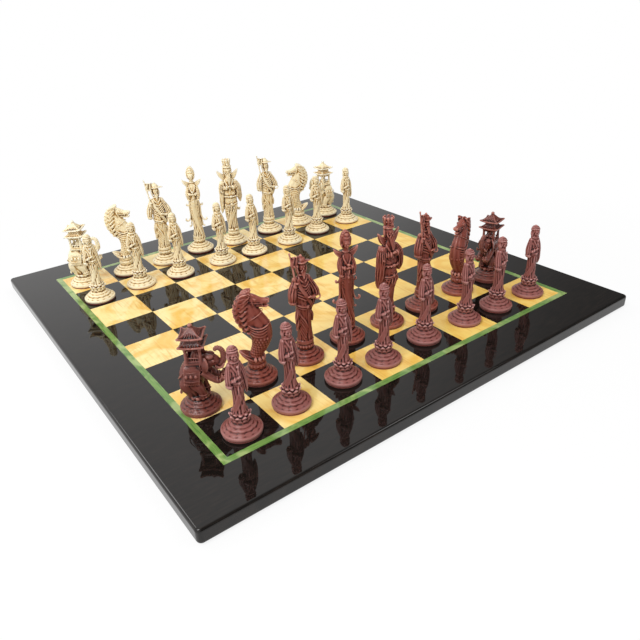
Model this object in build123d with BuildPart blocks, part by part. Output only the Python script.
from build123d import *
import math
import os

os.makedirs("parts", exist_ok=True)

# Frame: origin at the middle of the board's underside, +X along the files from a to h,
# +Y from the red army towards the ivory army, +Z up. All sizes are in millimetres.

# Board
SQUARE = 50.0
SQUARES_A_SIDE = 8
STRIP_WIDTH = 6.0
BOARD_SIDE = 498.0
SLAB_THICKNESS = 13.0
VENEER = 1.5
BAIZE = 0.8
BAIZE_SIDE = 480.0
EDGE_ROUNDING = 2.5
CORNER_ROUNDING = 4.0
FIELD = SQUARE * SQUARES_A_SIDE
FRAMED_FIELD = FIELD + 2 * STRIP_WIDTH
BOARD_TOP = BAIZE + SLAB_THICKNESS
VENEER_BED = BOARD_TOP - VENEER

# Feet of the chess pieces, which stand on felt pads
PAWN_RIM = 16.4
OFFICER_RIM = 17.0
PAD_THICKNESS = 1.0
PAD_INSET = 1.2
RIM_HEIGHT = 3.3
RING_HEIGHT = 2.1
RINGS = 3
BEAD = 0.8

# Who stands on which square, files a to h. Rooks and knights stand turned sideways.
# Each place is (turn about the upright in degrees, offset along the rank, offset along the file).
OFFICERS = ("rook", "knight", "bishop", "queen", "king", "bishop", "knight", "rook")
RED_OFFICER_PLACES = (
    (54, -11, -8), (54, -3, -2), (-6, -3, -3), (-16, -2, 0),
    (3, -4, -3), (4, -4, -1), (-75, 1, 0), (-75, 0, 0),
)
RED_PAWN_PLACES = (
    (-8, -1, -6), (-4, -3, -3), (-14, 2, -1), (-10, -3, -2),
    (-6, 2, 2), (4, 6, 0), (8, 2, -1), (-20, 1, -3),
)
IVORY_OFFICER_PLACES = (
    (56, -6, -4), (58, -5, -6), (-12, -6, -8), (-29, -5, -1),
    (-18, -8, -8), (-10, 0, -4), (-108, -2, -7), (-90, -1, -1),
)
IVORY_PAWN_PLACES = (
    (-14, -7, -6), (-20, -7, -2), (-10, -9, -5), (-16, -3, -7),
    (-8, -7, -7), (-12, -3, -8), (-22, -2, 0), (-10, 2, 3),
)


# Shapes that the figures are carved from. Each is added to the figure in hand.

def shaft(*sections):
    """Upright form through level ovals: (x, y, height, half width, half depth)."""
    levels = []
    for x, y, height, half_width, half_depth in sections:
        with BuildSketch(Plane((x, y, height))) as level:
            with BuildLine():
                Spline((half_width, 0), (0, half_depth), (-half_width, 0), (0, -half_depth), periodic=True)
            make_face()
        levels.append(level.sketch)
    loft(sections=levels)


def limb(across, *stations):
    """Bent form through ovals square to its centre line: (x, y, z, half size across, other half size)."""
    centres = [Vector(x, y, z) for x, y, z, _, _ in stations]
    last = len(centres) - 1
    rings = []
    for index, (_, _, _, half_across, half_other) in enumerate(stations):
        along = centres[min(index + 1, last)] - centres[max(index - 1, 0)]
        with BuildSketch(Plane(centres[index], x_dir=across, z_dir=along)) as ring:
            with BuildLine():
                Spline((half_across, 0), (0, half_other), (-half_across, 0), (0, -half_other), periodic=True)
            make_face()
        rings.append(ring.sketch)
    loft(sections=rings)


def foot(rim, neck, collar, collar_bottom, collar_top):
    """Round foot in stepped rings, with a narrow neck and the collar that the carving stands on."""
    ring_step = (rim - neck - 3 * BEAD) / (RINGS + 1)
    with BuildSketch(Plane.XZ) as outline:
        with BuildLine():
            Line((0, PAD_THICKNESS), (rim - BEAD, PAD_THICKNESS))
            radius = rim
            low = PAD_THICKNESS
            high = low + RIM_HEIGHT
            for _ in range(RINGS + 1):
                ThreePointArc((radius - BEAD, low), (radius, (low + high) / 2), (radius - BEAD, high))
                Line((radius - BEAD, high), (radius - ring_step - BEAD, high))
                radius -= ring_step
                low, high = high, high + RING_HEIGHT
            neck_middle = (neck + 0.3, (low + collar_bottom) / 2 + 0.4)
            ThreePointArc((radius - BEAD, low), neck_middle, (neck, collar_bottom))
            swell = (collar - 0.4, collar_top - (collar_top - collar_bottom) * 0.45)
            ThreePointArc((neck, collar_bottom), swell, (collar, collar_top - 1.0))
            Polyline((collar, collar_top - 1.0), (collar - BEAD, collar_top), (0, collar_top), (0, PAD_THICKNESS))
        make_face()
    revolve(outline.sketch, axis=Axis.Z)


def crescent(tip_x, tip_height, sag_below, sag_above, back, thickness):
    """Pair of wings: an upright crescent with its tips out and up."""
    with BuildSketch(Plane.XZ.offset(-back)) as outline:
        with BuildLine():
            ThreePointArc((-tip_x, tip_height), (0, tip_height - sag_below), (tip_x, tip_height))
            ThreePointArc((tip_x, tip_height), (0, tip_height - sag_above), (-tip_x, tip_height))
        make_face()
    extrude(outline.sketch, amount=thickness)


def pagoda_roof(middle_y, eaves, top, half_side, half_top, corner_lift):
    """Square roof with hollow slopes and four corners that turn up."""
    half_slope = (half_side + half_top) * 0.42
    profile = (
        (eaves, half_side * 0.8),
        (eaves + 1.4, half_side * 0.94),
        ((eaves + top) / 2, half_slope),
        (top, half_top),
    )
    levels = []
    for height, half in profile:
        with BuildSketch(Plane((0, middle_y, height))) as level:
            Rectangle(half * 2, half * 2)
        levels.append(level.sketch)
    loft(sections=levels, ruled=True)
    for corner in range(4):
        turn = math.radians(45 + 90 * corner)
        out_x, out_y = math.cos(turn), math.sin(turn)
        reach = half_side * math.sqrt(2)
        limb(
            (-out_y, out_x, 0),
            (out_x * reach * 0.5, middle_y + out_y * reach * 0.5, eaves + 2.0, 2.6, 1.0),
            (out_x * reach * 0.8, middle_y + out_y * reach * 0.8, eaves + 1.5, 2.0, 0.9),
            (out_x * reach, middle_y + out_y * reach, eaves + 1.4 + corner_lift, 0.6, 0.4),
        )


# Figures: each stands on height 0, faces -Y, and is one casting

with BuildPart() as pawn:
    # Small robed attendant with a rounded cap
    foot(PAWN_RIM, 6.0, 9.3, 12.6, 18.4)
    shaft((0.3, 0, 17.5, 5.8, 5.2), (0.3, 0, 22, 4.9, 4.4), (0.4, 0, 30, 4.7, 4.2), (0.5, 0, 40, 5.2, 4.2),
          (0.4, 0, 48, 5.8, 4.3), (0.2, 0, 56, 5.5, 3.9), (0, 0, 61.5, 4.4, 3.2), (0, -0.2, 65, 2.2, 2.2))
    shaft((0, -0.3, 64, 2.0, 2.0), (0, -0.4, 66.4, 3.1, 3.1), (0, -0.4, 69.5, 3.8, 3.8),
          (0, 0, 72.6, 3.7, 3.7), (0, 0.2, 75.0, 2.6, 2.6), (0, 0.2, 76.2, 0.8, 0.8))
    # Long hanging sleeve, short sleeve, and the arm across the chest
    shaft((4.0, 0.6, 61.5, 1.6, 2.0), (6.0, 0.4, 55, 2.4, 2.9), (7.0, 0.5, 46, 2.5, 3.1),
          (7.9, 0.8, 38, 1.8, 2.5), (8.4, 1.0, 33.5, 0.6, 1.2))
    shaft((-4.0, 0.3, 61.5, 1.6, 2.0), (-6.0, -0.1, 55, 2.3, 2.8), (-6.9, -0.8, 48, 2.6, 3.0),
          (-6.6, -1.2, 43.5, 1.8, 2.4), (-6.2, -1.2, 41.5, 0.6, 1.0))
    limb((0, 0, 1), (-6.4, -1.6, 48, 2.0, 2.0), (-3.8, -4.2, 49.5, 1.9, 1.9), (-0.6, -5.2, 51, 1.5, 1.5))

with BuildPart() as rook:
    # Rearing elephant that carries an open pavilion under a roof of two tiers
    foot(OFFICER_RIM, 7.8, 8.6, 11.2, 13.6)
    limb((1, 0, 0), (0, 2.5, 11.5, 7.4, 7.0), (0, 3.6, 18, 7.6, 8.2), (0, 4.0, 26, 8.4, 9.6),
         (0, 2.4, 34, 8.2, 10.0), (0, -1.0, 41, 7.2, 8.4), (0, -3.0, 45.5, 5.0, 5.6))
    for side in (-1, 1):
        # Thigh and shin, raised foreleg, ear
        limb((1, 0, 0), (side * 4.6, 3.5, 27, 3.6, 5.4), (side * 5.4, -3.0, 21, 3.2, 4.0),
             (side * 5.2, -4.5, 13, 2.9, 3.2))
        limb((1, 0, 0), (side * 4.2, -6, 36, 3.0, 3.6), (side * 4.6, -13, 30, 2.6, 2.9),
             (side * 4.4, -19, 27.5, 2.4, 2.6), (side * 4.2, -21.5, 31, 2.0, 2.2))
        limb((1, 0, 0), (side * 5.6, -9.5, 48.5, 0.8, 1.2), (side * 6.6, -9, 44.5, 1.2, 4.0),
             (side * 6.4, -8.6, 38.5, 1.1, 3.8), (side * 5.4, -8.6, 34, 0.7, 1.0))
    # Head, and the trunk that curls back at its tip
    limb((1, 0, 0), (0, -5, 40, 5.4, 6.0), (0, -11, 43, 5.8, 6.0), (0, -15.5, 43, 4.8, 5.2),
         (0, -18.5, 41, 3.0, 3.4))
    limb((1, 0, 0), (0, -16.5, 41.5, 3.0, 3.0), (0, -20.4, 41.5, 2.5, 2.5), (0, -23.0, 45, 2.2, 2.2),
         (0, -23.2, 50.5, 1.9, 1.9), (0, -21.2, 54.4, 1.7, 1.7), (0, -18.0, 54.8, 1.5, 1.5),
         (0, -16.4, 52.4, 1.2, 1.2))
    # Pavilion: floor, four posts, driver, two roofs, finial
    with BuildSketch(Plane((0, -1.0, 43.0))):
        RectangleRounded(14.6, 14.6, 2.0)
    extrude(amount=4.2)
    with BuildSketch(Plane((0, -1.0, 46.0))):
        with GridLocations(11.0, 11.0, 2, 2):
            Circle(1.7)
    extrude(amount=13.5)
    shaft((0, -2.8, 46, 3.4, 3.0), (0, -2.8, 51, 2.8, 2.4), (0, -2.8, 53, 1.6, 1.6),
          (0, -2.8, 56, 2.0, 2.0), (0, -2.8, 60, 1.2, 1.2))
    pagoda_roof(-1.0, 58.4, 67.0, 9.2, 4.6, 2.0)
    pagoda_roof(-1.0, 66.0, 74.4, 8.6, 1.4, 2.0)
    with Locations((0, -1.0, 75.2)):
        Sphere(1.9)

with BuildPart() as knight:
    # Horse's head and chest on an S-shaped stem, with a locked mane and a leaf at its foot
    foot(OFFICER_RIM, 7.2, 8.0, 12.0, 19.0)
    limb((1, 0, 0), (0, 0.5, 18.0, 7.0, 7.4), (0, -3.0, 25, 7.2, 8.0), (0, -8.0, 33, 7.8, 8.4),
         (0, -9.0, 43, 8.2, 9.0), (0, -6.0, 53, 7.6, 10.0), (0, -0.5, 62, 6.4, 9.0), (0, 2.6, 70, 5.4, 7.4),
         (0, 3.6, 76, 4.4, 5.6))
    limb((1, 0, 0), (0, 5.5, 75.6, 4.0, 4.6), (0, 1.0, 75.8, 4.6, 5.4), (0, -4.0, 73.5, 4.2, 5.2),
         (0, -9.5, 70.6, 3.2, 3.8), (0, -13.4, 69.4, 3.0, 3.2), (0, -15.0, 69.0, 2.0, 2.2))
    for side in (-1, 1):
        limb((1, 0, 0), (side * 2.6, 1.8, 77, 1.6, 1.9), (side * 3.0, 0.8, 80, 1.3, 1.5),
             (side * 3.0, 0.2, 82.4, 0.5, 0.6))
    # Locks of the mane, then the leaf
    for y, height, reach in ((8.0, 75, 3.6), (9.6, 69, 4.2), (9.4, 63.5, 6.6), (7.0, 58, 8.0), (4.0, 52, 7.0)):
        limb((1, 0, 0), (0, y - 4.0, height + 3.0, 3.4, 3.8), (0, y, height + 1.0, 2.8, 3.2),
             (0, y + reach * 0.7, height - 0.4, 1.6, 1.8), (0, y + reach, height - 0.2, 0.5, 0.6))
    limb((1, 0, 0), (0, 1.5, 20, 6.4, 3.4), (0, 6.5, 23.4, 5.6, 3.0), (0, 10.5, 24.6, 3.4, 1.8),
         (0, 13.4, 25.0, 0.8, 0.6))

with BuildPart() as bishop:
    # Standard bearer in a broad sleeved robe, with a brimmed helmet and a banner
    foot(OFFICER_RIM, 5.6, 7.8, 12.0, 18.0)
    shaft((0.4, 0, 17, 6.6, 5.8), (0.4, 0, 22, 6.0, 5.2), (0.4, 0, 32, 5.8, 5.0), (0.4, 0, 42, 6.2, 5.2),
          (0.4, -0.4, 54, 6.8, 5.6), (0.4, -0.2, 64, 7.4, 5.6), (0.3, 0, 73, 7.4, 5.0),
          (0.2, 0, 79.5, 5.6, 3.8), (0.2, -0.2, 83.5, 2.4, 2.4))
    shaft((0.4, -0.6, 82, 2.4, 2.4), (0.4, -1.0, 86, 3.8, 4.2), (0.4, -1.0, 91, 4.2, 4.4),
          (0.4, -0.6, 95, 4.2, 4.4), (0.4, -0.2, 98.4, 3.0, 3.2), (0.4, 0, 100.2, 0.8, 0.9))
    limb((0, 1, 0), (0.6, -1.6, 96.6, 4.8, 1.6), (5.0, -0.4, 94.8, 3.6, 1.2), (9.6, 1.0, 93.2, 0.9, 0.5))
    # Sleeves that hang from the elbows, then the ends of the sash
    shaft((-5.6, 0, 78, 2.6, 3.0), (-8.6, -0.8, 72, 3.4, 3.8), (-10.4, -1.4, 65, 3.4, 4.2),
          (-10.8, -1.6, 59.5, 2.6, 3.4), (-10.6, -1.6, 57.6, 1.4, 2.0))
    shaft((6.0, 0, 78, 2.6, 3.0), (9.2, -0.6, 72, 3.4, 4.0), (12.0, -1.4, 64.5, 3.8, 4.6),
          (10.8, -1.6, 58, 3.0, 4.0), (8.4, -1.4, 51, 1.2, 2.0))
    shaft((5.0, -1.0, 46, 1.6, 2.6), (7.6, -1.2, 38.5, 2.2, 2.6), (7.0, -1.0, 33, 0.8, 1.6))
    shaft((-4.6, -0.6, 46, 1.6, 2.4), (-7.2, -0.8, 39, 1.8, 2.2), (-6.6, -0.6, 31, 0.8, 1.4))
    # Hand, pole and banner
    with Locations((-7.4, -3.0, 77.0)):
        Sphere(2.4)
    limb((1, 0, 0), (-6.8, -3.2, 72, 0.9, 0.9), (-8.6, -3.0, 88, 0.8, 0.8), (-11.0, -2.4, 105.4, 0.6, 0.6))
    limb((0, 0, 1), (-9.6, -2.8, 96.4, 4.8, 0.9), (-5.6, -1.8, 96.0, 4.4, 1.3),
         (-1.6, -1.4, 96.0, 3.4, 1.2))

with BuildPart() as queen:
    # Slender court lady with a tall oval headdress, winged shoulders and long ribbons
    foot(OFFICER_RIM, 5.6, 7.6, 12.0, 17.0)
    shaft((0, 0, 16, 7.0, 6.2), (0, 0, 20, 6.8, 6.0), (0, 0, 30, 5.6, 5.0), (0, 0, 42, 5.4, 4.6),
          (0, 0, 54, 6.0, 4.8), (0, -0.2, 64, 6.4, 5.0), (0, 0, 74, 6.0, 4.4), (0, 0, 82, 5.2, 3.8),
          (0, 0, 88, 2.6, 2.4), (0, 0, 91, 2.0, 2.0))
    shaft((0, -0.4, 90, 2.0, 2.0), (0, -0.6, 93, 3.6, 3.6), (0, -0.6, 97, 4.6, 4.4), (0, 0, 102, 4.8, 4.4),
          (0, 0.4, 106, 3.4, 3.4), (0, 0.5, 109, 0.9, 1.0))
    crescent(11.8, 92.6, 11.2, 5.6, 2.2, 3.0)
    for side in (-1, 1):
        # Sleeve, ribbon with a curled end, curl at the hip
        shaft((side * 4.8, 0.2, 83.0, 1.8, 2.0), (side * 6.0, -0.8, 78, 2.3, 2.6),
              (side * 6.4, -2.2, 73, 2.5, 3.2), (side * 5.8, -3.0, 68.5, 1.6, 2.2))
        limb((0, 1, 0), (side * 4.0, 0.6, 56, 1.4, 1.8), (side * 5.8, 0.4, 49, 1.2, 1.6),
             (side * 6.8, 0.2, 43.6, 1.0, 1.4), (side * 8.6, 0.2, 39.8, 0.9, 1.3),
             (side * 11.2, 0.2, 39.0, 0.8, 1.1), (side * 13.0, 0.2, 41.2, 0.5, 0.7))
        limb((0, 1, 0), (side * 5.2, 0.8, 60.6, 1.5, 1.5), (side * 8.0, 0.8, 59.0, 1.2, 1.2),
             (side * 9.6, 0.8, 60.8, 0.6, 0.6))
    with Locations((0, -5.6, 73.5)):
        Sphere(2.6)

with BuildPart() as king:
    # Broad court lord with a flat crown, winged collar, belted belly and deep sleeves
    foot(OFFICER_RIM, 5.8, 7.8, 12.0, 18.0)
    shaft((0.6, 0, 17, 7.0, 6.2), (0.6, 0, 21, 6.4, 5.6), (0.8, 0, 30, 6.6, 5.6), (0.8, -0.2, 42, 7.6, 6.0),
          (0.4, -0.8, 55, 8.4, 6.8), (0.2, -0.6, 66, 8.4, 6.4), (0, 0, 76, 8.2, 5.6),
          (0, 0, 83.5, 6.6, 4.6), (0, 0, 88, 3.2, 3.0))
    shaft((0, -0.6, 87, 2.6, 2.6), (0, -0.8, 91, 4.0, 4.2), (0, -0.8, 96, 4.6, 4.6),
          (0, -0.4, 100.5, 4.2, 4.2))
    shaft((0, 0, 100, 4.4, 4.4), (0, 0, 103, 4.4, 4.4), (0, 0, 107, 5.0, 5.0), (0, 0, 110.4, 5.5, 5.5))
    limb((1, 0, 0), (0, -3.4, 93, 2.6, 1.4), (0, -5.4, 87, 2.4, 1.8), (0, -6.0, 81, 1.4, 1.4),
         (0, -6.0, 77.5, 0.5, 0.6))
    crescent(13.4, 97.4, 14.4, 8.0, 2.8, 3.8)
    # Deep sleeve on one side, sleeve and long cape on the other, hands held together
    shaft((7.0, 0, 82.5, 2.8, 3.4), (10.0, -1.4, 77, 4.0, 5.0), (11.6, -1.8, 68, 3.8, 5.6),
          (12.2, -1.6, 60, 2.9, 4.6), (12.4, -1.2, 54.5, 1.0, 2.2))
    shaft((-7.0, 0, 82.5, 2.8, 3.4), (-9.2, -0.6, 75, 3.4, 4.4), (-9.8, 0, 64, 2.8, 4.6),
          (-10.4, 0.6, 52, 2.2, 4.2), (-11.4, 1.0, 44, 1.6, 3.0), (-11.8, 1.0, 40.5, 0.6, 1.2))
    for side in (-1, 1):
        limb((0, 0, 1), (side * 8.0, -2.6, 75, 2.8, 2.8), (side * 5.0, -6.0, 75, 2.6, 2.6),
             (side * 2.0, -7.4, 76.4, 2.2, 2.2))
    with Locations((0, -7.4, 76.6)):
        Sphere(2.8)
    # Skirt turned out at the knee
    limb((0, 1, 0), (4.6, -1.5, 50, 2.6, 2.6), (7.6, -2.0, 46, 2.2, 2.0), (10.2, -2.2, 45.4, 0.8, 0.6))


# Board, from the table up

with BuildPart() as baize_underlay:
    with BuildSketch():
        RectangleRounded(BAIZE_SIDE, BAIZE_SIDE, CORNER_ROUNDING)
    extrude(amount=BAIZE)
baize_underlay.part.label = "baize_underlay"
export_step(baize_underlay.part, "parts/baize_underlay.step")

with BuildPart() as core_panel:
    with BuildSketch(Plane.XY.offset(BAIZE)):
        Rectangle(FRAMED_FIELD, FRAMED_FIELD)
    extrude(amount=SLAB_THICKNESS - VENEER)
core_panel.part.label = "core_panel"
export_step(core_panel.part, "parts/core_panel.step")

# Rails and inlaid strips are mitred at the corners: each is what lies between two upright planes
for side_name, heading in (("near", -90), ("right", 0), ("far", 90), ("left", 180)):
    mitres = [
        Plane((0, 0, 0), z_dir=Vector(1, 0, 0).rotate(Axis.Z, heading + turn))
        for turn in (-45, 45)
    ]

    with BuildPart() as rail:
        with BuildSketch(Plane.XY.offset(BAIZE)):
            RectangleRounded(BOARD_SIDE, BOARD_SIDE, CORNER_ROUNDING)
            Rectangle(FRAMED_FIELD, FRAMED_FIELD, mode=Mode.SUBTRACT)
        extrude(amount=SLAB_THICKNESS)
        level_faces = rail.faces().filter_by(Axis.Z).sort_by(Axis.Z)
        rim_edges = level_faces[0].outer_wire().edges() + level_faces[-1].outer_wire().edges()
        fillet(rim_edges, EDGE_ROUNDING)
        for mitre in mitres:
            split(bisect_by=mitre, keep=Keep.TOP)
    rail.part.label = f"{side_name}_rail"
    export_step(rail.part, f"parts/{side_name}_rail.step")

    with BuildPart() as strip:
        with BuildSketch(Plane.XY.offset(VENEER_BED)):
            Rectangle(FRAMED_FIELD, FRAMED_FIELD)
            Rectangle(FIELD, FIELD, mode=Mode.SUBTRACT)
        extrude(amount=VENEER)
        for mitre in mitres:
            split(bisect_by=mitre, keep=Keep.TOP)
    strip.part.label = f"{side_name}_strip"
    export_step(strip.part, f"parts/{side_name}_strip.step")


def square_middle(file_index, rank_index):
    """Middle of a square, counted from 0 along the files and ranks."""
    return (
        (file_index + 0.5) * SQUARE - FIELD / 2,
        (rank_index + 0.5) * SQUARE - FIELD / 2,
    )


# The square in the near left corner is dark
for tone, parity in (("dark", 0), ("light", 1)):
    middles = [
        square_middle(file_index, rank_index)
        for rank_index in range(SQUARES_A_SIDE)
        for file_index in range(SQUARES_A_SIDE)
        if (file_index + rank_index) % 2 == parity
    ]
    with BuildPart() as tile:
        with BuildSketch(Plane.XY.offset(VENEER_BED)):
            Rectangle(SQUARE, SQUARE)
        extrude(amount=VENEER)
    tiles = [tile.part.moved(Location((x, y, 0))) for x, y in middles]
    squares = Compound(label=f"{tone}_squares", children=tiles)
    export_step(squares, f"parts/{tone}_squares.step")


# Chess pieces on their squares

FIGURES = {
    "pawn": pawn,
    "rook": rook,
    "knight": knight,
    "bishop": bishop,
    "queen": queen,
    "king": king,
}


def stand(army, figure_name, file_index, rank_index, place):
    """Writes one chess piece, its casting and its felt pad, turned and set on its square."""
    turn, along_rank, along_file = place
    x, y = square_middle(file_index, rank_index)
    spot = Location((x + along_rank, y + along_file, BOARD_TOP), (0, 0, turn))
    rim = PAWN_RIM if figure_name == "pawn" else OFFICER_RIM
    with BuildPart() as pad:
        with BuildSketch():
            Circle(rim - PAD_INSET)
        extrude(amount=PAD_THICKNESS)
    name = f"{army}_{figure_name}_{'abcdefgh'[file_index]}"
    piece = Compound(label=name, children=[FIGURES[figure_name].part.moved(spot), pad.part.moved(spot)])
    export_step(piece, f"parts/{name}.step")


for file_index, officer in enumerate(OFFICERS):
    stand("red", "pawn", file_index, 0, RED_PAWN_PLACES[file_index])
    stand("red", officer, file_index, 1, RED_OFFICER_PLACES[file_index])
    stand("ivory", "pawn", file_index, 6, IVORY_PAWN_PLACES[file_index])
    stand("ivory", officer, file_index, 7, IVORY_OFFICER_PLACES[file_index])
